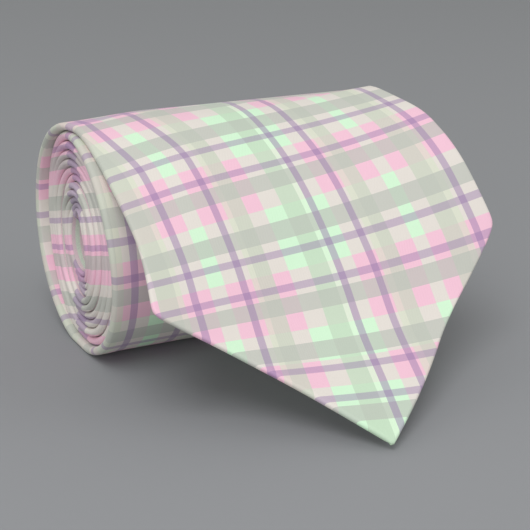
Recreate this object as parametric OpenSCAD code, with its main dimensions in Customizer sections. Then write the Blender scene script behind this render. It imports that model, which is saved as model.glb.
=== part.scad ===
// Necktie, rolled up from its narrow end and lying on its side.
//
// The roll's axis is X. The roll rests on z = 0 and the blade, the wide end of
// the tie, comes over the crest of the roll and slopes down to the table on
// the -Y side. The wound part and the free end of the blade are hinged on the
// crest line, where the cloth bends when the blade is lifted.
//
// Two ways of naming a place on the cloth are used:
//   wound part   t = turns wound from the crest line, x = place along the axis,
//                d = height above the middle of the cloth, outwards
//   free blade   v = length down from the crest line, u = place across,
//                d = height above the middle of the cloth, outwards

/* [Necktie] */
// Width of the blade at its two corners
blade_w = 101.6; // [90:0.2:110]
// Width of the narrow neck, behind the collar
neck_w = 36; // [30:1:44]
// Extra width of the tail at its own corners
tail_flare = 14; // [6:1:20]
// Thickness of the finished blade, flattened
blade_t = 2.1; // [1.8:0.05:2.2]
// Thickness of the finished tail
tail_t = 1.25; // [1.1:0.05:1.35]
// Thickness of one layer of the woven shell
cloth_t = 0.4; // [0.3:0.05:0.45]

/* [Roll] */
// Outer height of the crest above the roll's axis
roll_r = 32.5; // [31:0.5:34]
// Number of turns from the crest line to the tail's point
turns = 11.75; // [11:0.25:12]
// Distance between turns at the outside
pitch_out = 2.75; // [2.7:0.05:2.9]
// Distance between turns at the centre
pitch_in = 1.75; // [1.7:0.05:1.9]
// Height of the roll over its width
oval = 0.99; // [0.98:0.005:1.03]
// Half angle of the flat that the roll's own weight presses on its underside
flat_angle = 11; // [8:1:14]
// Place of the roll's flush end along the axis
end_x = -46; // [-50:1:-40]

/* [Free blade] */
// Length from the crest line to the point
free_len = 112; // [105:1:116]
// Angle between the blade and a right angle to the roll's axis
skew = 7.8; // [0:0.2:12]
// Angle at which the blade leaves the roll
leave_angle = 20; // [15:1:25]
// Steepest slope of the free blade
slope = 47; // [44:1:50]
// Slope of the point where it meets the table
end_slope = 26.5; // [20:0.5:35]
// Radius of the bend between leaving the roll and the steepest slope
bend_r = 65.3; // [60:0.1:80]
// How far the left edge of the cloth is drawn in at the crest
drawn_in = 2.5; // [0:0.5:4]
// Rise of the free blade's left corner
curl_left = 6.4; // [0:0.2:7]
// Rise of the free blade's right edge
curl_right = 6.5; // [0:0.5:7]

/* [Fineness] */
// Angle between the rings of the wound cloth
ring_step = 10; // [9:1:12]
// Rows along the free blade
flap_rows = 28; // [20:1:40]
// Columns across the free blade
flap_cols = 10; // [6:2:14]

/* [Hidden] */

gap = 0.3;                    // clearance where two pieces meet end to end
seat = 0.05;                  // clearance between layers that lie on each other
ring_turn = ring_step / 360;  // one ring step, in turns
crest_mid = roll_r - blade_t / 2;
wind_r = crest_mid / oval;    // radius of the middle of the cloth at t = 0
step_share = 0.85;            // how much of each turn's step in falls ahead of the crest
step_turn = 0.8;              // where that step is, in turns
step_zero = step_share * sin(360 * step_turn) / (2 * PI);

blade_join = 2.25;            // turns at which the blade is joined to the neck
neck_join = 5.5;              // turns at which the neck is joined to the tail
tail_bar = turns - 1.2;       // turns at which the tail's back seam ends
loop_turn = 12 * ring_turn;   // turns at which the keeper loop crosses the back
label_turn = 17 * ring_turn;  // turns at the middle of the maker's label
care_turn = 29 * ring_turn;   // turns at the middle of the care label

// ---- the wound cloth -------------------------------------------------------

// thickness of the finished tie
function thick(t) = blade_t + (tail_t - blade_t) * min(1, t / (turns - 2));

// radius of the middle of the cloth
function wind(t) = wind_r
    - pitch_out * (t + step_share * sin(360 * (t - step_turn)) / (2 * PI) + step_zero)
    + (pitch_out - pitch_in) * t * t / (2 * turns);

// length wound between the crest line and t
function wound_len(t) = 2 * PI * ((wind_r - pitch_out * step_zero) * t - pitch_out * t * t / 2
    + (pitch_out - pitch_in) * t * t * t / (6 * turns));

// the table presses the underside flat
function below(t) = abs((t - floor(t)) * 360 - 180);
function press(t) = below(t) < flat_angle ? cos(flat_angle) / cos(below(t)) : 1;

axis_z = (wind(0.5) + thick(0.5) / 2) * cos(flat_angle) * oval;

function settled(z) = abs(z) < 0.15 ? 0 : z;

function on_roll(t, x, d) = [
    x + drawn_in * max(0, crest_x - x) / crest_half * exp(-12 * t),
    (wind(t) + d) * press(t) * sin(360 * t),
    settled(axis_z + (wind(t) + d) * press(t) * oval * cos(360 * t))
];

// finished width at a length from the blade's point
function width_at(len) = neck_w + (blade_w - neck_w) * exp(-(len - blade_w / 2) / 360)
    + tail_flare * pow(min(1, max(0, (len - 950) / 380)), 2);

// the left edges of the turns lie flush, a little further in from turn to turn
crest_half = width_at(free_len) / 2 / cos(skew);
crest_x = end_x - 1.2 + crest_half;
function left_x(t) = end_x - 1.2 + 2.9 * ease((t - 0.25) / 0.5)
    + 0.6 * sin(250 * t) * min(1, t);
function tail_end(t) = max(0, wound_len(turns) - wound_len(t)) + 0.8;
function mid_x(t) = left_x(t) + width_at(free_len + wound_len(t)) / 2 / cos(skew * max(0, 1 - 2 * t));
function half_w(t) = min(mid_x(t) - left_x(t), tail_end(t));

// ---- the free blade --------------------------------------------------------

leave_len = crest_mid * leave_angle * PI / 180;
bend_len = bend_r * (slope - leave_angle) * PI / 180;
straight_len = 29;
settle_r = 42.9;              // bend in which the point settles towards the table
leave_y = -crest_mid * sin(leave_angle);
leave_z = axis_z + crest_mid * cos(leave_angle);
bend_y = leave_y - bend_r * (sin(slope) - sin(leave_angle));
bend_z = leave_z - bend_r * (cos(leave_angle) - cos(slope));
straight_y = bend_y - straight_len * cos(slope);
straight_z = bend_z - straight_len * sin(slope);
straight_end = leave_len + bend_len + straight_len;
settle_end = straight_end + settle_r * (slope - end_slope) * PI / 180;
settle_y = straight_y - settle_r * (sin(slope) - sin(end_slope));
settle_z = straight_z - settle_r * (cos(end_slope) - cos(slope));

// slope of the cloth at a length from the crest line, across the rulings
function slope_at(s) =
    s < leave_len ? s / crest_mid * 180 / PI
    : s < leave_len + bend_len ? leave_angle + (s - leave_len) / bend_r * 180 / PI
    : s < straight_end ? slope
    : max(end_slope, slope - (s - straight_end) / settle_r * 180 / PI);

function profile(s) =
    s < leave_len ? [-crest_mid * sin(slope_at(s)), axis_z + crest_mid * cos(slope_at(s))]
    : s < leave_len + bend_len ? [
        leave_y - bend_r * (sin(slope_at(s)) - sin(leave_angle)),
        leave_z - bend_r * (cos(leave_angle) - cos(slope_at(s)))]
    : s < straight_end ? [
        bend_y - (s - leave_len - bend_len) * cos(slope),
        bend_z - (s - leave_len - bend_len) * sin(slope)]
    : s < settle_end ? [
        straight_y - settle_r * (sin(slope) - sin(slope_at(s))),
        straight_z - settle_r * (cos(slope_at(s)) - cos(slope))]
    : [ settle_y - (s - settle_end) * cos(end_slope), settle_z - (s - settle_end) * sin(end_slope)];

function ease(a) = let (c = min(1, max(0, a))) c * c * (3 - 2 * c);

// the blade swings straight towards its point
turn_from = 31.5;
function heading(v) = skew * (1 - 2.45 * ease((v - turn_from) / 99.4));
function drift(v) = v < turn_from ? v * sin(skew)
    : turn_from * sin(skew) + (v - turn_from) * sin((heading(v) + skew) / 2);

// the edges of the free blade rise from its middle
function curl(u, v) = pow(u / 50, 2) * (u < 0 ? curl_left * ease((v - 15) / 42)
    : curl_right * (0.45 * ease((v + 10.5) / 23) + 0.55 * ease((v - 10) / 20) * ease((75 - v) / 40)));

// and run a little ahead of it, down the blade
function fan(u, v) = pow(u / 50, 2) * (2.2 * ease(v / 12) * ease((60 - v) / 50)
    + (u < 0 ? 1.8 : -2) * ease((v - 20) / 60));

function half_free(v) = min(width_at(free_len - v) / 2, free_len - v + 0.4,
    blade_w / 2);

// the point's right side is drawn in a little
function tip_in(u, v) = u > 0 ? 1 - 0.14 * ease((v - 61) / 25) : 1;

// how far the left edge is drawn in along the blade
function left_in(v) = 0.7 + (drawn_in - 0.7) * ease((61 - v) / 25);

function on_blade(u, v, d) =
    let (s = v * cos(heading(v) / 2 + skew / 2) - u * sin(heading(v)) + fan(u, v),
         p = profile(s), a = slope_at(s), n = d + curl(u, v))
    [crest_x + drift(v) + u * cos(heading(v)) * tip_in(u, v) + left_in(v) * max(0, -u) * 2 / blade_w,
     p[0] - n * sin(a), p[1] + n * cos(a)];

// first row parallel to the hinge, later rows square to the blade
function row_v(i, q, first, last) = let (k = i / flap_rows, v = first + (last - first) * k)
    v + q * half_free(max(v, 0)) * tan(skew) * pow(1 - k, 2);

// ---- solids from rings and grids -------------------------------------------

// the faces between n sections of m corners each, as triangles
function quad(a, b, c, d) = [[a, b, c], [a, c, d]];
function tube_faces(n, m) = [for (i = [0 : n - 2], k = [0 : m - 1])
    each quad(i * m + k, i * m + (k + 1) % m, (i + 1) * m + (k + 1) % m, (i + 1) * m + k)];
function shifted(faces, by) = [for (f = faces) [for (p = f) p + by]];
function flipped(faces) = [for (f = faces) [for (k = [len(f) - 1 : -1 : 0]) f[k]]];

// solid between the first and last of a list of sections, all of one size
module loft(sections) {
    n = len(sections);
    m = len(sections[0]);
    polyhedron([for (s = sections) each s], concat(
        tube_faces(n, m),
        [[for (k = [m - 1 : -1 : 0]) k]],
        [[for (k = [0 : m - 1]) (n - 1) * m + k]]), convexity = 20);
}

// the same with a cavity; open_end says whether the far end is open too
module hollow_loft(outer, inner, open_end) {
    n = len(outer);
    ni = len(inner);
    m = len(outer[0]);
    base = n * m;
    polyhedron(concat([for (s = outer) each s], [for (s = inner) each s]), concat(
        tube_faces(n, m),
        flipped(shifted(tube_faces(ni, m), base)),
        [for (k = [0 : m - 1]) each quad(k, base + k, base + (k + 1) % m, (k + 1) % m)],
        open_end ? [for (k = [0 : m - 1]) each quad(
            (n - 1) * m + (k + 1) % m, base + (ni - 1) * m + (k + 1) % m,
            base + (ni - 1) * m + k, (n - 1) * m + k)]
        : concat([[for (k = [0 : m - 1]) (n - 1) * m + k]],
            [[for (k = [m - 1 : -1 : 0]) base + (ni - 1) * m + k]])), convexity = 20);
}

function ring_turns(from, to) = let (n = max(1, ceil((to - from) / ring_turn - 0.01)))
    [for (i = [0 : n]) i == n ? to : floor(from / ring_turn + 0.001) * ring_turn + i * ring_turn < from
        ? from : floor(from / ring_turn + 0.001) * ring_turn + i * ring_turn];

// section of the wound tie at t, drawn in by side at the edges
function wound_section(t, inset, low, high) = [
    on_roll(t, mid_x(t) - half_w(t) + inset, low),
    on_roll(t, mid_x(t) - half_w(t) + inset, high),
    on_roll(t, mid_x(t) + half_w(t) - inset, high),
    on_roll(t, mid_x(t) + half_w(t) - inset, low)
];

module wound_shell(from, to) {
    ts = ring_turns(from, to);
    hollow_loft(
        [for (t = ts) wound_section(t, 0, -thick(t) / 2, thick(t) / 2)],
        [for (t = ts) wound_section(t, min(2 * cloth_t, half_w(t) / 2),
            -thick(t) / 2 + cloth_t, thick(t) / 2 - cloth_t)], true);
}

// piece of cloth that lies on the inner face of the wound tie, from ring to ring
module wound_patch(from, to, x0, x1, low, high) {
    first = round(from / ring_turn);
    last = round(to / ring_turn);
    ts = [for (i = [first : last]) i * ring_turn];
    loft([for (t = ts) [on_roll(t, x0, low), on_roll(t, x0, high),
        on_roll(t, x1, high), on_roll(t, x1, low)]]);
}

// section of the free blade in one row
function free_section(i, first, last, inset, low, high) = concat(
    [for (j = [0 : flap_cols]) let (q = 1 - 2 * j / flap_cols, v = row_v(i, q, first, last))
        on_blade(q * max(0.2, half_free(v) - inset), v, high)],
    [for (j = [flap_cols : -1 : 0]) let (q = 1 - 2 * j / flap_cols, v = row_v(i, q, first, last))
        on_blade(q * max(0.2, half_free(v) - inset), v, low)]);

// ---- shells ----------------------------------------------------------------

module blade_shell_wound() {
    color("#d9ecd4") wound_shell(0, blade_join);
}

module blade_shell_free() {
    color("#d9ecd4") hollow_loft(
        [for (i = [0 : flap_rows]) free_section(i, gap, free_len, 0, -blade_t / 2, blade_t / 2)],
        [for (i = [0 : flap_rows]) free_section(i, gap, free_len - 6, 2 * cloth_t,
            -blade_t / 2 + cloth_t, blade_t / 2 - cloth_t)], false);
}

module neck_shell() {
    color("#d2e4cd") wound_shell(blade_join + gap / 180, neck_join);
}

module tail_shell() {
    color("#cbdcc8") wound_shell(neck_join + gap / 120, turns);
}

// ---- inside ----------------------------------------------------------------

module interlining_wound() {
    ts = ring_turns(0, turns - 0.4);
    color("#efe9dc") loft([for (t = ts) wound_section(t, 3 * cloth_t,
        -thick(t) / 2 + cloth_t + seat, thick(t) / 2 - cloth_t - seat)]);
}

module interlining_free() {
    color("#efe9dc") loft([for (i = [0 : flap_rows]) free_section(i, gap, free_len - 8,
        3 * cloth_t, -blade_t / 2 + cloth_t + seat, blade_t / 2 - cloth_t - seat)]);
}

// ---- linings of the two points ---------------------------------------------

hem = 6;                      // hem of the shell that frames a tipping
tipping_t = 0.25;
tipping_top = free_len - 78;  // where the back's two folds meet

// half width of the blade's tipping: a kite below the bar tack
function tipping_half(v) = min(half_free(v + hem * 0.42) - hem * 0.9, (v - tipping_top) * 1.4 + 1);

module blade_tipping() {
    n = 14;
    last = free_len - 2 * hem;
    low = -blade_t / 2 - seat - tipping_t;
    high = -blade_t / 2 - seat;
    color("#cfe6cd") loft([for (i = [0 : n]) let (v = tipping_top + (last - tipping_top) * i / n) concat(
        [for (j = [0 : flap_cols]) on_blade((1 - 2 * j / flap_cols) * max(0.3, tipping_half(v)), v, high)],
        [for (j = [flap_cols : -1 : 0]) on_blade((1 - 2 * j / flap_cols) * max(0.3, tipping_half(v)), v, low)])]);
}

module tail_tipping() {
    from = turns - 1.1;
    to = turns - 0.25;
    n = 26;
    color("#cfe6cd") loft([for (i = [0 : n])
        let (t = from + (to - from) * i / n,
             w = max(0.3, min(half_w(t) - hem * 0.6, (wound_len(t) - wound_len(from)) * 1.2 + 1)),
             low = -thick(t) / 2 - seat - tipping_t / 2, high = -thick(t) / 2 - seat)
        [on_roll(t, mid_x(t) - w, low), on_roll(t, mid_x(t) - w, high),
         on_roll(t, mid_x(t) + w, high), on_roll(t, mid_x(t) + w, low)]]);
}

// ---- sewing ----------------------------------------------------------------

// how far the flat strips between two rings cut inside the curve
function sag(t) = wind(t) * (1 - cos(ring_step / 2));

thread_t = 0.2;
stitch_len = 5;
stitch_gap = 12;

// one straight stitch on the inner face of the wound tie, along its middle
module wound_stitch(t, long) {
    dt = long / (4 * PI * wind(t));
    high = -thick(t) / 2 - seat - sag(t);
    low = high - thread_t;
    loft([for (k = [-1 : 0.5 : 1]) let (a = t + k * dt) [
        on_roll(a, mid_x(t) - thread_t, low), on_roll(a, mid_x(t) - thread_t, high),
        on_roll(a, mid_x(t) + thread_t, high), on_roll(a, mid_x(t) + thread_t, low)]]);
}

// stitches are evenly spaced in length, so their turns come from the length
function turn_at(length, lo, hi, n) = n == 0 ? (lo + hi) / 2
    : wound_len((lo + hi) / 2) < length ? turn_at(length, (lo + hi) / 2, hi, n - 1)
    : turn_at(length, lo, (lo + hi) / 2, n - 1);

function clear_of_labels(t) = abs(t - loop_turn) > 0.06 && abs(t - label_turn) > 0.11
    && abs(t - care_turn) > 0.08;

module slip_stitches_wound() {
    color("#b9cdb8") for (len = [8 : stitch_gap : wound_len(tail_bar) - 8])
        let (t = turn_at(len, 0, turns, 16))
        if (clear_of_labels(t)) wound_stitch(t, stitch_len);
}

module free_stitch(u, v, long, across) {
    low = -blade_t / 2 - seat - thread_t;
    high = -blade_t / 2 - seat;
    hu = across / 2;
    loft([for (a = [v - long / 2, v + long / 2]) [
        on_blade(u + hu, a, high), on_blade(u - hu, a, high),
        on_blade(u - hu, a, low), on_blade(u + hu, a, low)]]);
}

module slip_stitches_free() {
    color("#b9cdb8") for (v = [6 : stitch_gap : tipping_top - 8]) free_stitch(0, v, stitch_len, 2 * thread_t);
}

bar_w = 7;
bar_h = 1.4;

module blade_bar_tack() {
    color("#a9bfa9") free_stitch(0, tipping_top - 2.5, bar_h, bar_w);
}

module tail_bar_tack() {
    t = tail_bar + 0.02;
    dt = bar_h / (4 * PI * wind(t));
    high = -thick(t) / 2 - seat - sag(t);
    low = high - thread_t;
    color("#a9bfa9") loft([for (a = [t - dt, t + dt]) [
        on_roll(a, mid_x(t) - bar_w / 2, low), on_roll(a, mid_x(t) - bar_w / 2, high),
        on_roll(a, mid_x(t) + bar_w / 2, high), on_roll(a, mid_x(t) + bar_w / 2, low)]]);
}

// the shell's pieces are joined on the bias, so each join is a slanting row
module join_stitches(join) {
    n = 6;
    reach = half_w(join) - 4;
    for (i = [0 : n]) let (q = 2 * i / n - 1, x = mid_x(join) + q * reach,
            t = join + 0.12 + q * reach * 0.5 / (2 * PI * wind(join)),
            high = -thick(t) / 2 - seat - sag(t), low = high - thread_t,
            dt = 1.5 / (2 * PI * wind(t)))
        if (abs(q) > 0.1)
        loft([for (k = [-1, 1]) [
            on_roll(t + k * dt, x + k * 2 - thread_t, low), on_roll(t + k * dt, x + k * 2 - thread_t, high),
            on_roll(t + k * dt, x + k * 2 + thread_t, high), on_roll(t + k * dt, x + k * 2 + thread_t, low)]]);
}

module join_stitches_blade() {
    color("#b9cdb8") join_stitches(blade_join);
}

module join_stitches_neck() {
    color("#b9cdb8") join_stitches(neck_join);
}

// ---- what is sewn to the back of the blade ---------------------------------

loop_len = 52;                // keeper loop, across the back
loop_w = 10;
loop_t = 0.2;
maker_w = 46;
maker_h = 22;
care_w = 16;
care_h = 24;
label_t = 0.12;

function inner_face(t) = -thick(t) / 2 - seat;

module keeper_loop() {
    dt = loop_w / (4 * PI * wind(loop_turn));
    x = mid_x(loop_turn);
    d = inner_face(loop_turn);
    color("#dcefd6") wound_patch(loop_turn - dt, loop_turn + dt, x - loop_len / 2, x + loop_len / 2,
        d - loop_t, d);
}

module keeper_stitches() {
    dt = loop_w / (4 * PI * wind(loop_turn));
    x = mid_x(loop_turn);
    d = inner_face(loop_turn) - loop_t - seat;
    color("#a9bfa9") for (side = [-1, 1]) let (xs = x + side * (loop_len / 2 - 2))
        wound_patch(loop_turn - dt, loop_turn + dt, xs - 0.5, xs + 0.5, d - 0.15, d);
}

module maker_label() {
    dt = maker_h / (4 * PI * wind(label_turn));
    x = mid_x(label_turn);
    d = inner_face(label_turn);
    color("#eef0ea") wound_patch(label_turn - dt, label_turn + dt, x - maker_w / 2, x + maker_w / 2,
        d - label_t, d);
}

module care_label() {
    dt = care_h / (4 * PI * wind(care_turn));
    x = mid_x(care_turn) + 2;
    d = inner_face(care_turn);
    color("white") wound_patch(care_turn - dt, care_turn + dt, x, x + care_w, d - 2 * label_t, d);
}

blade_shell_wound();
blade_shell_free();
neck_shell();
tail_shell();
interlining_wound();
interlining_free();
blade_tipping();
tail_tipping();
slip_stitches_wound();
slip_stitches_free();
blade_bar_tack();
tail_bar_tack();
join_stitches_blade();
join_stitches_neck();
keeper_loop();
keeper_stitches();
maker_label();
care_label();
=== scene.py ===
# Looks of the rolled necktie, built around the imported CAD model. Lengths are in
# millimetres in the shape functions and become metres when a mesh is made.
import math

import bpy
import numpy as np
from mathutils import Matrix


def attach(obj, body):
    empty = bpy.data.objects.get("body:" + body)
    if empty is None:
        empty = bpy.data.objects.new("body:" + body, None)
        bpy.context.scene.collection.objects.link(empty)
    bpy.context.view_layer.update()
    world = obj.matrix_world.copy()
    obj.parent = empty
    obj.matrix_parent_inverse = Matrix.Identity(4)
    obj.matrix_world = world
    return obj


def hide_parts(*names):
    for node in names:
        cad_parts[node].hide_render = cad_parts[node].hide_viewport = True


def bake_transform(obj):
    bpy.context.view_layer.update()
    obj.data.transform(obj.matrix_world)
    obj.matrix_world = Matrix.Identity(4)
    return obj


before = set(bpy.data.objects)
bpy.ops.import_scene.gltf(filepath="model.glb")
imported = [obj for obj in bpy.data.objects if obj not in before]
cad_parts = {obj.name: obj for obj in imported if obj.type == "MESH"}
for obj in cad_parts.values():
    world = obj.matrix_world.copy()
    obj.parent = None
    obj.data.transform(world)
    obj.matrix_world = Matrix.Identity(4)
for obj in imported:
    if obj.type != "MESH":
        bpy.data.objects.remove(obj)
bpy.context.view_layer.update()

# ---- the tie's measures, as in part.scad ---------------------------------------------

BLADE_W, NECK_W, TAIL_FLARE = 101.6, 36.0, 14.0
BLADE_T, TAIL_T, CLOTH_T, LINING_T = 2.1, 1.25, 0.42, 0.14
ROLL_R, TURNS, PITCH_OUT, PITCH_IN, OVAL = 32.5, 11.75, 2.75, 1.75, 0.99
FLAT, END_X, FREE, SKEW = math.radians(11), -46.0, 112.0, math.radians(7.8)
LEAVE, SLOPE, BEND_R = math.radians(20), math.radians(47), 65.3
STRAIGHT, SETTLE_R, END_SLOPE = 29.0, 42.9, math.radians(26.5)
CREST = ROLL_R - BLADE_T / 2
WIND_R = CREST / OVAL
STEP, STEP_T = 0.85, 0.8
TAU = 2 * math.pi
STEP_0 = STEP * math.sin(TAU * STEP_T) / TAU
BLADE_JOIN, NECK_JOIN = 2.25, 5.5   # where the strips of cloth are joined, in turns
SPLIT = 0.17                        # the looks cut the blade's cloth here, behind the crest, in turns
TURN_FROM = 31.5                     # from here on the free blade turns aside, mm from the crest
KITE_TOP = FREE - 78.0              # where the back seam of the blade opens
HEM = 8.5                           # width of the turned-in edge round the blade's lining


def ease(a):
    c = np.clip(a, 0, 1)
    return c * c * (3 - 2 * c)


def thick(t):
    """Thickness of the folded cloth t turns back from the crest."""
    return BLADE_T + (TAIL_T - BLADE_T) * np.minimum(1, np.maximum(t, 0) / (TURNS - 2))


def wind(t):
    """Radius of the spiral's middle line after t turns."""
    return (WIND_R - PITCH_OUT * (t + STEP * np.sin(TAU * (t - STEP_T)) / TAU + STEP_0)
            + (PITCH_OUT - PITCH_IN) * t * t / (2 * TURNS))


def wound_len(t):
    """Length of cloth wound in the first t turns."""
    return TAU * ((WIND_R - PITCH_OUT * STEP_0) * t - PITCH_OUT * t * t / 2
                  + (PITCH_OUT - PITCH_IN) * t ** 3 / (6 * TURNS))


AXIS_Z = float((wind(0.5) + thick(0.5) / 2) * math.cos(FLAT) * OVAL)


def press(t):
    """Factor on the radius that flattens the underside of each turn."""
    below = np.abs((t % 1) * TAU - math.pi)
    flat = np.where(below < FLAT, math.cos(FLAT) / np.cos(np.minimum(below, 1)), 1.0)
    return 1 + (flat - 1) * np.exp(-np.maximum(t - 0.5, 0) / 2.5)


def on_roll(t, x, d):
    """Point of the wound cloth: the innermost turns are pressed narrower."""
    r = wind(t) + d
    tall = 2.3 * np.exp(-np.maximum(r - 5, 0) / 11)
    p = press(t)
    return np.stack([x + 0 * r, (r - tall) * p * np.sin(TAU * t),
                     AXIS_Z + (r * OVAL + tall) * p * np.cos(TAU * t)], -1)


def width_at(length):
    """Width of the tie at a length from the blade's end."""
    return (NECK_W + (BLADE_W - NECK_W) * np.exp(-(length - BLADE_W / 2) / 360)
            + TAIL_FLARE * np.clip((length - 950) / 380, 0, 1) ** 2)


CREST_HALF = width_at(FREE) / 2 / math.cos(SKEW)
CREST_X = END_X - 1.2 + CREST_HALF
LEFT_IN = 2.5 / math.cos(SKEW)   # how far the cloth is drawn in at the crest


def left_x(t):
    """Left edge of the cloth on the roll, a little uneven from turn to turn."""
    out = END_X - 1.2 + 2.9 * ease((t - 0.25) / 0.5)
    return out + np.minimum(1, t) * (0.4 * np.sin(4.4 * t) + 0.25 * np.sin(11.3 * t + 1))


def mid_x(t):
    return left_x(t) + width_at(FREE + wound_len(t)) / 2 / np.cos(SKEW * np.maximum(0, 1 - 2 * t))


def half_w(t):
    """Half width of the wound cloth, ending in the tail's point."""
    tail = np.maximum(0, wound_len(TURNS) - wound_len(t)) + 0.8
    return np.minimum(mid_x(t) - left_x(t), tail)


# the free blade's side view, from the crest line down to the table
ARC_STEP = 0.25
ARC = np.arange(-30, 160, ARC_STEP)


def side_view():
    l1, l2 = CREST * LEAVE, BEND_R * (SLOPE - LEAVE)
    bend = np.where(ARC < l1, 1 / CREST, np.where(ARC < l1 + l2, 1 / BEND_R,
                    np.where(ARC < l1 + l2 + STRAIGHT, 0, -1 / SETTLE_R)))
    zero = int(np.argmin(np.abs(ARC)))
    angle = np.concatenate([[0], np.cumsum(bend[:-1] * ARC_STEP)])
    angle -= angle[zero]
    angle = np.where(ARC > l1 + l2 + STRAIGHT, np.maximum(angle, END_SLOPE), angle)
    half = (angle[1:] + angle[:-1]) / 2
    y = np.concatenate([[0], np.cumsum(-np.cos(half) * ARC_STEP)])
    z = np.concatenate([[0], np.cumsum(-np.sin(half) * ARC_STEP)])
    return y - y[zero], z - z[zero] + AXIS_Z + CREST, angle


SIDE_Y, SIDE_Z, SIDE_A = side_view()


def heading(v):
    """Which way the blade points at v: it starts askew and turns back towards the other side."""
    return SKEW * (1 - 2.45 * ease((v - TURN_FROM) / 99.4))


def curl(u, v):
    """How far the edges stand up from the blade's middle."""
    left = 6.4 * ease((v - 15) / 42)
    right = 2.9 * ease((v + 10.5) / 23) + 3.6 * ease((v - 10) / 20) * ease((75 - v) / 40)
    return (u / 50) ** 2 * np.where(u < 0, left, right)


def fan(u, v):
    """How far the edges run ahead of the middle, down the blade."""
    edge = 2.2 * ease(v / 12) * ease((60 - v) / 50) + np.where(u < 0, 1.8, -2.0) * ease((v - 20) / 60)
    return (u / 50) ** 2 * edge


def free_thick(v):
    """Thickness of the free blade at v: a little less past the crest."""
    return BLADE_T - 0.35 * ease(v / 50)


def half_wide(v):
    """Half width of the flat blade at v, leaving out the point."""
    return np.minimum(width_at(FREE - v) / 2, BLADE_W / 2)


def draw_in(v):
    """How much narrower the free blade's left half is."""
    return 0.7 + 1.8 * ease((61 - v) / 25)


def half_free(v, side=1):
    """Half width at v down to the point, a little less on the left: side runs from -1 to 1."""
    plain = half_wide(v) - np.clip(-side, 0, 1) * draw_in(v)
    tip = (FREE - v + 0.4) * (1 - 0.14 * np.clip(side, 0, 1) * ease((v - 61) / 25))
    soft = 0.8
    return -soft * np.logaddexp(-plain / soft, -tip / soft)


def on_blade(u, v, d):
    """Point of the free blade: u across, v down from the crest line, d above the middle of the cloth."""
    h = heading(v)
    past = (v - TURN_FROM) * np.sin((h + SKEW) / 2)
    drift = np.where(v < TURN_FROM, v * math.sin(SKEW), TURN_FROM * math.sin(SKEW) + past)
    s = v * np.cos((h + SKEW) / 2) - u * np.sin(h) + fan(u, v)
    n = d + curl(u, v)
    a = np.interp(s, ARC, SIDE_A)
    return np.stack([CREST_X + drift + u * np.cos(h), np.interp(s, ARC, SIDE_Y) - n * np.sin(a),
                     np.interp(s, ARC, SIDE_Z) + n * np.cos(a)], -1)


# ---- fabric coordinates: across and along the cloth, for the plaid -------------------

def pulled(across, s):
    """How far the lines on the left are drawn over near the crest, s being the way down from it."""
    near = np.where(s > -2, 1 - ease((s + 2) / 24), 1 - ease((-s - 2) / 26))
    return across + 5.0 * near * np.clip(-(across + 3) / 24, 0, 1)


def cloth_on_roll(t, x):
    """Where a point of the wound cloth lies on the flat cloth."""
    s = -wound_len(t)
    lean = math.tan(SKEW)
    middle = lean * s * np.exp(s / 14) + 0.3 * ease(-s / 140)
    turn = np.arctan(lean * np.exp(s / 14) * (1 + s / 14))
    across = (x - CREST_X - middle) * (1 + (BLADE_W / 2 / CREST_HALF - 1) * np.exp(s / 60))
    return np.stack([pulled(across * np.cos(turn), s), s + across * np.sin(turn)], -1)


# ---- meshes --------------------------------------------------------------------------

def make(name, points, faces, cloth=None, rims=0):
    """Mesh object from points in mm and quads; the last rims faces are shaded flat."""
    mesh = bpy.data.meshes.new(name)
    points = np.array(points, float)
    # the roll's left end is a little squashed, and the table presses the underside flat
    points[:, 2] *= 1 - 0.02 * ease((-20 - points[:, 0]) / 26)
    points[:, 2] = (points[:, 2] + np.sqrt(points[:, 2] ** 2 + 0.04)) / 2
    mesh.vertices.add(len(points))
    mesh.vertices.foreach_set("co", (points * 0.001).ravel())
    faces = np.asarray(faces)
    mesh.loops.add(faces.size)
    mesh.loops.foreach_set("vertex_index", faces.ravel())
    mesh.polygons.add(len(faces))
    mesh.polygons.foreach_set("loop_start", np.arange(len(faces)) * faces.shape[1])
    mesh.update(calc_edges=True)
    mesh.validate()
    soft = np.full(len(mesh.polygons), True)
    if rims:
        soft[-rims:] = False
    mesh.polygons.foreach_set("use_smooth", soft)
    if cloth is not None:
        layer = mesh.attributes.new("cloth", "FLOAT_VECTOR", "POINT")
        layer.data.foreach_set("vector", np.asarray(cloth, float).ravel())
    obj = bpy.data.objects.new(name, mesh)
    bpy.context.scene.collection.objects.link(obj)
    return obj


def grid_faces(rows, cols, base=0, wrap=False):
    """Quads between the points of a grid, numbered row by row from base."""
    i, j = np.meshgrid(np.arange(rows - 1), np.arange(cols if wrap else cols - 1), indexing="ij")
    k = (j + 1) % cols
    quads = [i * cols + j, i * cols + k, (i + 1) * cols + k, (i + 1) * cols + j]
    return base + np.stack(quads, -1).reshape(-1, 4)


def shell_faces(n, m):
    """Faces of a closed sheet from two grids of n rows by m, the two end rims last."""
    i, k = np.arange(n - 1), np.arange(m - 1)
    last, e, b = (n - 1) * m, m - 1, n * m
    return [grid_faces(n, m), grid_faces(n, m, b)[:, ::-1],
            np.stack([i * m, (i + 1) * m, b + (i + 1) * m, b + i * m], -1),
            np.stack([(i + 1) * m + e, i * m + e, b + i * m + e, b + (i + 1) * m + e], -1),
            np.stack([k + 1, k, b + k, b + k + 1], -1),
            np.stack([last + k, last + k + 1, b + last + k + 1, b + last + k], -1)]


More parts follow.
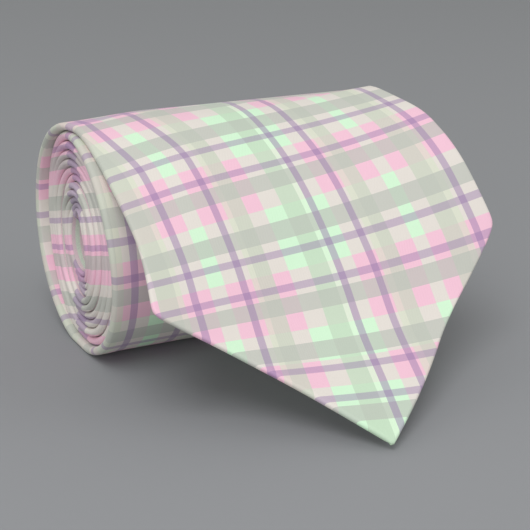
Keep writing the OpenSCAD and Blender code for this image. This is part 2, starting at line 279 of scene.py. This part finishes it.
def section(half, t, inner, n_front, n_fold, n_back, inset):
    """Cross-section of folded cloth: (across, height) from the left flap's end round to the right's.

    half is the half width, t the thickness and inset how far each flap's end is
    from the middle; inner draws the inner side of the cloth.
    """
    r = np.minimum(t / 2, half * 0.55)
    ri = np.maximum(r - CLOTH_T, 0.05) if inner else r
    c = half - r * 1.25
    k = np.linspace(0, 1, n_back)[:, None]
    reach = np.maximum(c, 0.01)
    stop = np.minimum(inset, reach - 0.01)
    back = stop + (reach - stop) * k
    fold = np.linspace(0, math.pi, n_fold + 2)[1:-1, None]
    turn_a = c + np.sin(fold) * (ri + (half - c - r))
    turn_n = -np.cos(fold) * ri
    q = np.linspace(-1, 1, n_front)[:, None]
    across = np.concatenate([-back, -turn_a, q * reach, turn_a[::-1], back[::-1]])
    one = np.ones_like(back)
    height = np.concatenate([-ri * one, turn_n, ri * np.ones_like(q), turn_n[::-1], -ri * one])
    return across, height


def folded(name, rows, place, n_front, n_fold, n_back, lap=0.0):
    """A strip of cloth folded to a flat tube, from rows of (half, thickness, inset).

    place(across, height) gives the points and fabric coordinates of all rows; lap is
    how far the right flap stands over the left one along the back seam.
    """
    half, t, inset = (np.array(c, float) for c in zip(*rows))
    grids, cloths = [], []
    for inner in (False, True):
        a, h = section(half, t, inner, n_front, n_fold, n_back, inset)
        near = np.exp(-(np.abs(a) / 3.5) ** 2)
        near[:-n_back] = 0
        p, c = place((a - 2 * lap * near).T, (h - lap * near).T)
        grids.append(p)
        cloths.append(c)
    faces = shell_faces(*grids[0].shape[:2])
    points = np.concatenate([g.reshape(-1, 3) for g in grids])
    cloth = np.concatenate([c.reshape(-1, 3) for c in cloths])
    return make(name, points, np.concatenate(faces), cloth, len(faces[-2]) + len(faces[-1]))


def puff(t, q):
    """Soft unevenness of the folded edges, so that no turn is a copy of the next."""
    edge = np.clip((np.abs(q) - 0.8) / 0.2, 0, 1)
    wob = 0.07 * np.sin(7.4 * t + 1.3) + 0.05 * np.sin(13.7 * t + 0.4)
    return edge * wob * np.minimum(1, np.maximum(t, 0))


def round_fold(a, h, half):
    """Place across the flat cloth: past the edge where the cloth has turned to the back."""
    return np.where(h < 0, np.sign(a) * (2 * half - np.abs(a)), a)


# how far the free blade's right edge stands past the roll's at the crest line
CREST_OFF = float(on_blade(half_free(0.0), half_free(0.0) * math.tan(SKEW), 0)[0]
                  - (mid_x(0.0) + half_w(0.0)))
# extra rows just inside the ends of a piece, so that two pieces that meet end to end shade alike
NEAR = np.array([0.0003, 0.001, 0.0025])


def lay_on_roll(t, a, h, half):
    """Points and fabric coordinates of folded cloth on the roll, from (across, height) at t."""
    q = a / half
    x = mid_x(t) + a + CREST_OFF * np.maximum(q, 0) * np.exp(-25 * t)
    x = x + LEFT_IN * np.clip(-q, 0, 1) * np.exp(-12 * t)
    edge_x = (0.55 * np.sin(5.3 * t + 0.5) + 0.3 * np.sin(12.1 * t)) * np.clip(-q, 0, 1) ** 6
    x = x + edge_x * np.minimum(1, t)
    # near its folds the cloth swells to fill the gap to the next turn
    pitch = PITCH_OUT + (PITCH_IN - PITCH_OUT) * t / TURNS
    swell = np.maximum(0.46 * pitch / (thick(t) / 2) - 1, 0)
    h = h * (1 + swell * ease((np.abs(a) - half + 8) / 6) * np.minimum(1, t * 3))
    return on_roll(t, x, h + puff(t, q)), cloth_on_roll(t, round_fold(a, h, half) + x - a)


def wound(name, t0, t1, step, n_front, n_fold, n_back):
    """Shell on the roll from t0 to t1 turns, with a row at every step."""
    count = max(2, int(round((t1 - t0) / step)) + 1)
    t = np.linspace(t0, t1, count)
    t = np.concatenate([t[:1], t0 + NEAR, t[1:-1], t1 - NEAR[::-1], t[-1:]])
    half = half_w(t)

    def place(a, h):
        wide = half[:, None]
        tt = t[:, None] + 0 * a
        p, c = lay_on_roll(tt, a, h, wide)
        # on the folds at the roll's left end the plaid keeps to level lines
        end = (a / wide < -0.93) & (wide + a < 1.6 * thick(tt)) & (tt > 1.0)
        level = p[..., 2] + 0.3 * p[..., 1] - AXIS_Z
        flat = np.stack([-24.57 - 0.16 * np.abs(p[..., 1]), FIRST + 1.2 * (6.0 - level)], -1)
        c = np.where(end[..., None], flat, c)
        return p, np.concatenate([c, 0 * tt[..., None]], -1)

    return folded(name, list(zip(half, thick(t), np.zeros_like(t))), place, n_front, n_fold, n_back)


def blade():
    """Shell of the free blade, and of the roll from the crest back to SPLIT."""
    behind = np.linspace(SPLIT, 0, 16)
    behind = np.concatenate([behind[:1], SPLIT - NEAR, behind[1:]])
    v_rows = np.linspace(0, FREE, 150)[1:]
    n_b = len(behind)
    v_all = np.concatenate([np.zeros(n_b), v_rows])
    half = np.concatenate([half_w(behind), half_free(v_rows)])
    t = np.concatenate([thick(behind), free_thick(v_rows)])
    kite = np.minimum((v_all - KITE_TOP) * 1.4, half_free(v_all) - HEM)
    inset = np.where(v_all > KITE_TOP, np.maximum(kite, 0.02), 0.02)

    def place(a, h):
        on, c_on = lay_on_roll(behind[:, None] + 0 * a[:n_b], a[:n_b], h[:n_b], half[:n_b, None])
        vf, wide = v_rows[:, None], half[n_b:, None]
        af, hf = a[n_b:], h[n_b:]
        q = np.clip(af / wide, -1, 1)
        v = vf + q * half_free(vf) * math.tan(SKEW) * (1 - vf / FREE) ** 2
        off = on_blade(af / wide * half_free(v, q), v, hf)
        turned = round_fold(af, hf, wide) / wide * half_free(v, q)
        across = pulled(turned * BLADE_W / 2 / np.maximum(half_wide(v), 1), v)
        c = np.concatenate([c_on, np.stack([across, v], -1)])
        back = (h < -0.3 * t[:, None]).astype(float)
        return np.concatenate([on, off]), np.concatenate([c, back[..., None]], -1)

    return folded("blade_cloth", list(zip(half, t, inset)), place, 61, 9, 31, lap=0.25)


def sheet_between(name, points_top, points_low, cloth):
    """Closed thin sheet from two grids of points, one above the other."""
    faces = np.concatenate(shell_faces(*points_top.shape[:2]))
    points = np.concatenate([points_top.reshape(-1, 3), points_low.reshape(-1, 3)])
    return make(name, points, faces, np.concatenate([cloth.reshape(-1, 3)] * 2))


def free_panel(name, v, half, high, low, cols=41):
    """Panel on the free blade from rows v with their half widths."""
    q = np.linspace(1, -1, cols)[None, :]
    u = half[:, None] * q
    vv = v[:, None] + u * math.tan(SKEW) * (1 - v[:, None] / FREE) ** 2
    cloth = np.stack([u, vv, 0 * u], -1)
    return sheet_between(name, on_blade(u, vv, high), on_blade(u, vv, low), cloth)


def wound_panel(name, t, x0, x1, high, low, cols=21):
    """Panel on the roll from rows t, between the edges x0 and x1 and the heights high and low."""
    k = np.linspace(1, 0, cols)[None, :]
    x = x0[:, None] + (x1 - x0)[:, None] * k
    tt = t[:, None] + 0 * x
    cloth = np.stack([x, wound_len(tt), 0 * x], -1)
    return sheet_between(name, on_roll(tt, x, high[:, None]), on_roll(tt, x, low[:, None]), cloth)


def threads(name, paths, radius=0.13, sides=8):
    """Short round threads along lists of points, their ends drawn in."""
    points, faces = [], []
    for path in paths:
        p = np.asarray(path, float)
        along = np.gradient(p, axis=0)
        along /= np.linalg.norm(along, axis=1)[:, None]
        a = np.cross(along, (0.31, 0.2, 0.93))   # any direction that no thread runs in
        a /= np.linalg.norm(a, axis=1)[:, None]
        b = np.cross(along, a)
        n = len(p)
        k = np.linspace(-1, 1, n)
        r = radius * np.sqrt(np.maximum(1 - k ** 6, 0.03))
        w = np.linspace(0, TAU, sides, endpoint=False)
        ring = (p[:, None, :] + r[:, None, None] * (np.cos(w)[None, :, None] * a[:, None, :]
                                                    + np.sin(w)[None, :, None] * b[:, None, :]))
        base = sum(len(q) for q in points)
        points.append(ring.reshape(-1, 3))
        faces.append(grid_faces(n, sides, base, wrap=True))
        for end, way in ((0, -1), ((n - 1) * sides, 1)):
            for j in range(1, sides // 2):
                quad = [end + j - 1, end + j, end + sides - 1 - j, end + (sides - j) % sides]
                faces.append(np.array([[base + f for f in quad[::way]]]))
    return make(name, np.concatenate(points), np.concatenate(faces))


def turn_at(length):
    """Turns back from the crest at which a length of cloth is wound."""
    t = np.linspace(0, TURNS, 6000)
    return float(np.interp(length, wound_len(t), t))


# ---- materials -----------------------------------------------------------------------

def material(name):
    mat = bpy.data.materials.new(name)
    mat.use_nodes = True
    nodes, links = mat.node_tree.nodes, mat.node_tree.links
    return mat, nodes, links, nodes["Principled BSDF"]


def math_node(nodes, links, kind, a, b=None, c=None):
    node = nodes.new("ShaderNodeMath")
    node.operation = kind
    for i, value in enumerate((a, b, c)):
        if value is None:
            continue
        if isinstance(value, (int, float)):
            node.inputs[i].default_value = value
        else:
            links.new(value, node.inputs[i])
    return node.outputs[0]


def ramp(nodes, links, fac, stops):
    """Sharp bands: stops are (start, colour with alpha); gives the colour and alpha outputs."""
    node = nodes.new("ShaderNodeValToRGB")
    r = node.color_ramp
    r.interpolation = "CONSTANT"
    while len(r.elements) < len(stops):
        r.elements.new(0.5)
    for e, (at, colour) in zip(r.elements, stops):
        e.position = at
    for e, (at, colour) in zip(r.elements, stops):
        e.position, e.color = at, colour
    links.new(fac, node.inputs[0])
    return node.outputs


def mix(nodes, links, fac, a, b):
    node = nodes.new("ShaderNodeMix")
    node.data_type = "RGBA"
    for socket, value in ((node.inputs[0], fac), (node.inputs[6], a), (node.inputs[7], b)):
        if isinstance(value, (int, float, tuple)):
            socket.default_value = value
        else:
            links.new(value, socket)
    return node.outputs[2]


def rgb(r, g, b, a=1.0):
    return (r / 255, g / 255, b / 255, a)


PINK, MINT = rgb(248, 199, 219), rgb(216, 250, 217)
SAGE, GREEN, LIME = rgb(206, 213, 196, 0.78), rgb(199, 222, 196, 0.78), rgb(218, 227, 203, 0.6)
PALE = rgb(228, 250, 222, 0.6)
CLEAR = (0.8, 0.8, 0.8, 0.0)
PURPLE, BAND = rgb(151, 121, 170), rgb(190, 194, 186)
PERIOD = 34.74   # the sett's length before it repeats
SPAN = 104.0     # and its width
FIRST = 18.9     # the first dark line in front of the crest line
SHADE = 0.94     # how light the dyed cloth is
MOTTLE = 0.06    # unevenness of the plain cloths


def weave(nodes, links, across, along, bsdf, pitch=0.5, strength=0.22, deep=0.00006):
    """Fine twill: ribs on a slant, broken up along their length."""
    rib = math_node(nodes, links, "SINE", math_node(nodes, links, "MULTIPLY", math_node(
        nodes, links, "ADD", across, math_node(nodes, links, "MULTIPLY", along, 0.6)), TAU / pitch))
    pick = math_node(nodes, links, "SINE", math_node(nodes, links, "MULTIPLY", along, TAU / pitch * 1.7))
    height = math_node(nodes, links, "ADD", rib, math_node(nodes, links, "MULTIPLY", pick, 0.5))
    bump = nodes.new("ShaderNodeBump")
    bump.inputs["Strength"].default_value = strength
    bump.inputs["Distance"].default_value = deep
    links.new(height, bump.inputs["Height"])
    links.new(bump.outputs[0], bsdf.inputs["Normal"])
    return height


def plaid_material():
    """Plaid from the fabric coordinates: base checks, greenish and grey bands, purple lines."""
    mat, nodes, links, bsdf = material("plaid_silk")
    attr = nodes.new("ShaderNodeAttribute")
    attr.attribute_name = "cloth"
    split = nodes.new("ShaderNodeSeparateXYZ")
    links.new(attr.outputs["Vector"], split.inputs[0])
    across, along = split.outputs[0], split.outputs[1]

    x = math_node(nodes, links, "WRAP", across, SPAN / 2, -SPAN / 2)
    x = math_node(nodes, links, "ADD", math_node(nodes, links, "DIVIDE", x, SPAN), 0.5)
    y = math_node(nodes, links, "FRACT", math_node(nodes, links, "DIVIDE", math_node(
        nodes, links, "SUBTRACT", along, FIRST), PERIOD))

    def at(u):   # u in percent of the blade's width from its middle
        return u * BLADE_W / 100 / SPAN + 0.5

    base_x = ramp(nodes, links, x, [(0, PINK), (at(-33.3), MINT), (at(-28.9), PINK), (at(-10.7), MINT),
                                    (at(7.9), PINK), (at(25.6), MINT), (at(29.8), PINK)])
    over_x = ramp(nodes, links, x, [
        (0, CLEAR), (at(-47.6), SAGE), (at(-42.5), LIME), (at(-40.9), CLEAR),
        (at(-21.5), LIME), (at(-19.7), SAGE), (at(-15.5), CLEAR), (at(-5.1), GREEN), (at(0.4), PALE),
        (at(2.0), CLEAR), (at(14.7), LIME), (at(16.5), SAGE), (at(20.7), CLEAR),
        (at(34.7), SAGE), (at(39.7), LIME), (at(41.6), CLEAR)])
    base_y = ramp(nodes, links, y, [(0, MINT), (0.145, PINK), (0.63, MINT)])
    # near the point the sett turns about
    turned_y = ramp(nodes, links, y, [(0, PINK), (0.17, MINT), (0.923, PINK)])
    near_point = math_node(nodes, links, "GREATER_THAN", along, FIRST + 1.923 * PERIOD)
    band_y = ramp(nodes, links, y, [
        (0, CLEAR), (0.35, BAND), (0.487, CLEAR), (0.75, BAND), (0.895, CLEAR)])
    line = rgb(151, 121, 170, 0.42)
    line_y = ramp(nodes, links, y, [
        (0, line), (0.03, CLEAR), (0.248, line), (0.307, CLEAR), (0.97, line)])
    stops = [(0, CLEAR)]
    for u in (-38.1, -23.8, 3.0, 12.7, 43.8):
        stops += [(at(u - 1.0), rgb(151, 121, 170, 0.47)), (at(u + 1.0), CLEAR)]
    line_x = ramp(nodes, links, x, stops)

    colour = mix(nodes, links, near_point, base_y[0], turned_y[0])
    colour = mix(nodes, links, 0.5, base_x[0], colour)
    colour = mix(nodes, links, over_x[1], colour, over_x[0])
    colour = mix(nodes, links, math_node(nodes, links, "MULTIPLY", band_y[1], 0.7), colour, BAND)
    colour = mix(nodes, links, line_y[1], colour, PURPLE)
    colour = mix(nodes, links, line_x[1], colour, PURPLE)

    # slow unevenness of the dye
    noise = nodes.new("ShaderNodeTexNoise")
    noise.inputs["Scale"].default_value = 0.08
    noise.inputs["Detail"].default_value = 4
    links.new(attr.outputs["Vector"], noise.inputs["Vector"])
    vary = math_node(nodes, links, "MULTIPLY_ADD", noise.outputs[0], 0.03, 0.985)
    fine = nodes.new("ShaderNodeTexNoise")
    fine.inputs["Scale"].default_value = 2.4
    fine.inputs["Detail"].default_value = 2
    links.new(attr.outputs["Vector"], fine.inputs["Vector"])
    grain = math_node(nodes, links, "MULTIPLY_ADD", fine.outputs[0], 0.03, 0.985)
    vary = math_node(nodes, links, "MULTIPLY", vary, grain)
    gamma = nodes.new("ShaderNodeGamma")
    gamma.inputs["Gamma"].default_value = 2.2
    links.new(colour, gamma.inputs["Color"])
    tint = nodes.new("ShaderNodeVectorMath")
    tint.operation = "SCALE"
    links.new(gamma.outputs[0], tint.inputs[0])
    links.new(math_node(nodes, links, "MULTIPLY", vary, SHADE), tint.inputs["Scale"])
    links.new(tint.outputs[0], bsdf.inputs["Base Color"])
    bsdf.inputs["Roughness"].default_value = 0.55
    bsdf.inputs["Specular IOR Level"].default_value = 0.3
    bsdf.inputs["Sheen Weight"].default_value = 0.12
    bsdf.inputs["Sheen Roughness"].default_value = 0.4
    weave(nodes, links, across, along, bsdf)
    return mat


def plain_cloth(name, colour, rough, pitch, sheen=0.15, deep=0.00005):
    """Plain woven cloth, from the same fabric coordinates where a piece has them."""
    mat, nodes, links, bsdf = material(name)
    attr = nodes.new("ShaderNodeAttribute")
    attr.attribute_name = "cloth"
    split = nodes.new("ShaderNodeSeparateXYZ")
    links.new(attr.outputs["Vector"], split.inputs[0])
    height = weave(nodes, links, split.outputs[0], split.outputs[1], bsdf, pitch, 0.25, deep)
    noise = nodes.new("ShaderNodeTexNoise")
    noise.inputs["Scale"].default_value = 0.6
    noise.inputs["Detail"].default_value = 5
    links.new(attr.outputs["Vector"], noise.inputs["Vector"])
    low = tuple(c * (1 - MOTTLE) for c in colour) + (1,)
    high = tuple(min(1, c * (1 + MOTTLE)) for c in colour) + (1,)
    fac = math_node(nodes, links, "MULTIPLY_ADD", height, 0.08, noise.outputs[0])
    links.new(mix(nodes, links, fac, low, high), bsdf.inputs["Base Color"])
    bsdf.inputs["Roughness"].default_value = rough
    bsdf.inputs["Sheen Weight"].default_value = sheen
    bsdf.inputs["Specular IOR Level"].default_value = 0.3
    return mat


def thread_material(name, colour):
    """Twisted thread: dark and light waves across a plain colour."""
    mat, nodes, links, bsdf = material(name)
    coord = nodes.new("ShaderNodeTexCoord")
    wave = nodes.new("ShaderNodeTexWave")
    wave.inputs["Scale"].default_value = 900
    wave.inputs["Distortion"].default_value = 1.5
    links.new(coord.outputs["Object"], wave.inputs["Vector"])
    low = tuple(c * 0.82 for c in colour) + (1,)
    twist = mix(nodes, links, wave.outputs["Fac"], low, colour + (1,))
    links.new(twist, bsdf.inputs["Base Color"])
    bump = nodes.new("ShaderNodeBump")
    bump.inputs["Distance"].default_value = 0.00005
    bump.inputs["Strength"].default_value = 0.4
    links.new(wave.outputs["Fac"], bump.inputs["Height"])
    links.new(bump.outputs[0], bsdf.inputs["Normal"])
    bsdf.inputs["Roughness"].default_value = 0.45
    return mat


def wear(obj, mat, node):
    """Give a piece its material and hide the CAD node that it stands for."""
    obj.data.materials.append(mat)
    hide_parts(node)
    return obj


PLAID = plaid_material()
TIPPING = plain_cloth("tipping_satin", (0.60, 0.80, 0.60), rough=0.35, pitch=0.3, sheen=0.1)
WOOL = plain_cloth("interlining_wool", (0.78, 0.73, 0.63), rough=0.9, pitch=0.9, sheen=0.3, deep=0.00015)
LABEL = plain_cloth("label_satin", (0.80, 0.82, 0.77), rough=0.4, pitch=0.25)
CARE = plain_cloth("care_ribbon", (0.86, 0.86, 0.85), rough=0.45, pitch=0.2)
THREAD = thread_material("sewing_thread", (0.50, 0.62, 0.50))
TACK = thread_material("tack_thread", (0.38, 0.50, 0.39))

# ---- shells --------------------------------------------------------------------------

def bend_at_crest(piece):
    """Bakes the piece's placement into its mesh."""
    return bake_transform(piece)


blade_cloth = wear(blade(), PLAID, "blade_shell_free")
bend_at_crest(blade_cloth)
wound_blade = wear(wound("blade_wound_cloth", SPLIT, BLADE_JOIN, 3 / 360, 31, 9, 12),
                   PLAID, "blade_shell_wound")
wound_neck = wear(wound("neck_cloth", BLADE_JOIN, NECK_JOIN, 4 / 360, 15, 9, 6),
                  PLAID, "neck_shell")
wound_tail = wear(wound("tail_cloth", NECK_JOIN, TURNS, 5 / 360, 11, 9, 5),
                  PLAID, "tail_shell")
for piece in (wound_blade, wound_neck, wound_tail):
    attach(piece, "roll")

# ---- inside --------------------------------------------------------------------------

v = np.linspace(0.6, FREE - 8, 90)
lining = free_panel("interlining_blade", v, np.maximum(0.3, half_free(v) - 4.0), 0.45, -0.35)
wear(lining, WOOL, "interlining_free")
bend_at_crest(lining)
t = np.linspace(0.02, TURNS - 0.4, 700)
w = np.maximum(0.4, half_w(t) - 2.4)
body = wound_panel("interlining_roll", t, mid_x(t) - w, mid_x(t) + w,
                   thick(t) / 2 - 0.55, -thick(t) / 2 + 0.5, 9)
wear(body, WOOL, "interlining_wound")
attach(body, "roll")

# ---- linings of the two points -------------------------------------------------------

v = np.linspace(KITE_TOP - 2, FREE - HEM + 1.5, 70)
half = np.maximum(0.4, np.minimum((v - KITE_TOP + 2) * 1.5, half_free(v) - HEM + 4.5))
deep = -free_thick(v)[:, None] / 2 + CLOTH_T + 0.16
q = np.linspace(1, -1, 41)[None, :]
u, vv = half[:, None] * q, v[:, None] + 0 * q
tip_lining = sheet_between("blade_tipping_cloth", on_blade(u, vv, deep),
                           on_blade(u, vv, deep - LINING_T), np.stack([u, vv, 0 * u], -1))
wear(tip_lining, TIPPING, "blade_tipping")
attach(tip_lining, "blade")

t = np.linspace(TURNS - 1.1, TURNS - 0.25, 60)
w = np.maximum(0.3, np.minimum(half_w(t) - 3.6, (wound_len(t) - wound_len(t[0])) * 1.2 + 1))
deep = -thick(t) / 2
tail_lining = wound_panel("tail_tipping_cloth", t, mid_x(t) - w, mid_x(t) + w,
                          deep - 0.02, deep - LINING_T)
wear(tail_lining, TIPPING, "tail_tipping")
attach(tail_lining, "roll")

# ---- sewing --------------------------------------------------------------------------


def blade_thread(u0, v0, u1, v1, d, bow=0.12):
    k = np.linspace(0, 1, 7)
    return on_blade(u0 + (u1 - u0) * k, v0 + (v1 - v0) * k, d - bow * np.sin(k * math.pi))


def roll_thread(t0, x0, t1, x1, d, bow=0.05):
    k = np.linspace(0, 1, 7)
    return on_roll(t0 + (t1 - t0) * k, x0 + (x1 - x0) * k, d - bow * np.sin(k * math.pi))


LOW = -BLADE_T / 2
free_slips = [blade_thread(-1.6, at - 1.3, 0.5, at + 1.3, LOW - 0.15) for at in (6, 12, 18, 24)]
slips = wear(threads("slip_stitches_blade", free_slips, 0.16), THREAD, "slip_stitches_free")
bend_at_crest(slips)

tack_paths = [blade_thread(-3.6, at, 3.6, at, LOW - 0.28, 0.1)
              for at in KITE_TOP - 3.2 + 0.3 * np.arange(6)]
tack_paths += [blade_thread(u, KITE_TOP - 3.7, u, KITE_TOP - 1.3, LOW - 0.3, 0.1) for u in (-3.4, 3.4)]
tack = wear(threads("blade_tack_threads", tack_paths, 0.17), TACK, "blade_bar_tack")
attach(tack, "blade")

roll_slips = []
for length in np.arange(8, wound_len(TURNS - 1.2) - 8, 12):
    at = turn_at(length)
    dt = 2.2 / (TAU * wind(at))
    x = mid_x(at)
    roll_slips.append(roll_thread(at - dt, x - 0.4, at + dt, x + 0.4, -thick(at) / 2 - 0.1))
slips_roll = wear(threads("slip_stitches_roll", roll_slips, 0.1, 6),
                  THREAD, "slip_stitches_wound")
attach(slips_roll, "roll")

at = TURNS - 1.18
bar = [roll_thread(at + k, mid_x(at) - 3.4, at + k, mid_x(at) + 3.4, -thick(at) / 2 - 0.1)
       for k in 0.001 * np.arange(6)]
tail_tack = wear(threads("tail_tack_threads", bar, 0.1, 6), TACK, "tail_bar_tack")
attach(tail_tack, "roll")

for name, join in (("blade", BLADE_JOIN), ("neck", NECK_JOIN)):
    paths = []
    for i in range(13):
        k = i / 6 - 1
        x = mid_x(join) + k * (half_w(join) - 4)
        at = join + 0.12 + k * (half_w(join) - 4) * 0.5 / (TAU * wind(join))
        paths.append(roll_thread(at - 0.006, x - 1.2, at + 0.006, x + 1.2, -thick(at) / 2 - 0.1))
    seam = wear(threads("join_seam_" + name, paths, 0.1, 6), THREAD, "join_stitches_" + name)
    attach(seam, "roll")

# ---- loop and labels on the back -----------------------------------------------------


def patch(name, mat, node, at, aside, wide, high, deep, cloth_deep):
    """A small piece sewn on the back of the cloth, with its corners rounded."""
    round_r = 0.8
    x = float(mid_x(at)) + aside
    way = np.linspace(-1, 1, 25)
    t = at + high / 2 / (TAU * wind(at)) * way
    k = np.clip((1 - np.abs(way)) * high / 2 / round_r, 0, 1)
    draw = round_r * (1 - np.sqrt(1 - (1 - k) ** 2))
    d = -thick(t) / 2 - deep
    obj = wound_panel(name, t, x - wide / 2 + draw, x + wide / 2 - draw, d, d - cloth_deep)
    wear(obj, mat, node)
    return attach(obj, "roll")


LOOP_T, LABEL_T, CARE_T = 12 / 36, 17 / 36, 29 / 36   # where they sit, in turns
keeper = patch("keeper_strip", PLAID, "keeper_loop", LOOP_T, 0, 52, 10, 0.08, 0.2)
maker = patch("maker_patch", LABEL, "maker_label", LABEL_T, 0, 46, 22, 0.06, 0.12)
care = patch("care_patch", CARE, "care_label", CARE_T, 10, 16, 24, 0.06, 0.2)
ends = []
dt = 4 / (TAU * wind(LOOP_T))
for side in (-1, 1):
    for i in range(5):
        x = float(mid_x(LOOP_T)) + side * (24 - 0.35 * i)
        ends.append(roll_thread(LOOP_T - dt, x, LOOP_T + dt, x, -thick(LOOP_T) / 2 - 0.32, 0.02))
keeper_sewing = wear(threads("keeper_threads", ends, 0.08, 6), TACK, "keeper_stitches")
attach(keeper_sewing, "roll")

# ---- camera, floor and light ---------------------------------------------------------

cam_data = bpy.data.cameras.new("camera")
cam = bpy.data.objects.new("camera", cam_data)
bpy.context.scene.collection.objects.link(cam)
cam_data.lens, cam_data.sensor_width = 86.4, 36
cam_data.clip_start, cam_data.clip_end = 0.02, 20
cam.location = (-0.1372, -0.3176, 0.1394)
cam.rotation_euler = (math.radians(90 - 19.502), 0, math.radians(-25.162))
bpy.context.scene.camera = cam

floor_mat, _, _, bsdf = material("pale_floor")
bsdf.inputs["Base Color"].default_value = (0.285, 0.29, 0.308, 1)
bsdf.inputs["Roughness"].default_value = 0.85
bpy.ops.mesh.primitive_plane_add(size=6, location=(0, 0, -0.0002))
floor = bpy.context.object
floor.name = "floor"
floor.data.materials.append(floor_mat)


def light(name, place, size, watts):
    """Square area light that points at the middle of the roll."""
    data = bpy.data.lights.new(name, "AREA")
    data.size, data.energy = size, watts
    obj = bpy.data.objects.new(name, data)
    bpy.context.scene.collection.objects.link(obj)
    obj.location = place
    way = np.array((0, 0, 0.03)) - np.array(place)
    tilt = math.acos(-way[2] / np.linalg.norm(way))
    obj.rotation_euler = (tilt, 0, math.atan2(way[1], way[0]) - math.pi / 2)


light("key", (-0.35, -0.5, 0.95), 0.6, 4.5)
light("fill", (0.9, -0.7, 0.6), 0.8, 2.4)
light("back", (-0.2, 0.9, 0.9), 0.8, 0.8)
light("side", (-0.7, -0.8, 0.28), 0.6, 2.6)

world = bpy.data.worlds.new("studio")
bpy.context.scene.world = world
world.use_nodes = True
sky = world.node_tree.nodes["Background"]
sky.inputs[0].default_value = (0.95, 0.965, 0.93, 1)
sky.inputs[1].default_value = 0.55
bpy.context.scene.view_settings.view_transform = "Standard"
